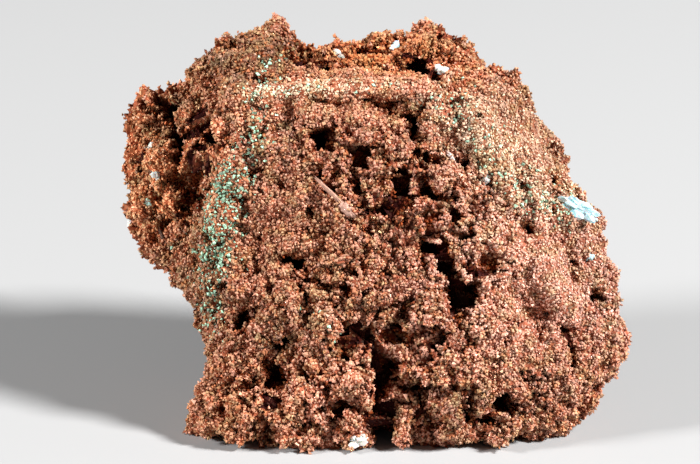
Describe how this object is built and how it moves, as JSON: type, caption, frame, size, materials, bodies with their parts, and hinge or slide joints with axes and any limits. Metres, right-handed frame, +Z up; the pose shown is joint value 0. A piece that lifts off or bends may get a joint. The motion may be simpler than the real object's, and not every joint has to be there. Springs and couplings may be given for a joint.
{
  "type": "native copper nugget",
  "caption": "Crystalline native copper nugget leaning back on a worn flat foot, deeply pitted, with small mineral grains seated in it.",
  "frame": {"origin": "bottom centre of the nugget's bounding box, on the surface that it stands on", "axes": "+X along the nugget's length, to the right as seen from the front face; +Y towards its back; +Z up"},
  "size_m": [0.0412, 0.0244, 0.0297],
  "materials": {
    "native_copper": "rough crystalline native copper with brown patina and green malachite specks",
    "white_mineral": "white glassy calcite or quartz grain",
    "blue_white_mineral": "blue-white grain stained by copper salts",
    "pale_green_mineral": "pale green grain stained by malachite"
  },
  "bodies": {
    "root": {"copper_nugget": "native_copper", "grain_right_shoulder": "blue_white_mineral", "grain_left_shoulder_upper": "white_mineral", "grain_left_shoulder_lower": "white_mineral", "grain_left_flank": "pale_green_mineral", "grain_left_edge": "white_mineral", "grain_crown_edge": "blue_white_mineral", "grain_crown_left": "white_mineral", "grain_crown_right": "white_mineral", "grain_brow": "white_mineral", "grain_right_flank": "blue_white_mineral", "grain_foot": "white_mineral"}
  },
  "joints": []
}
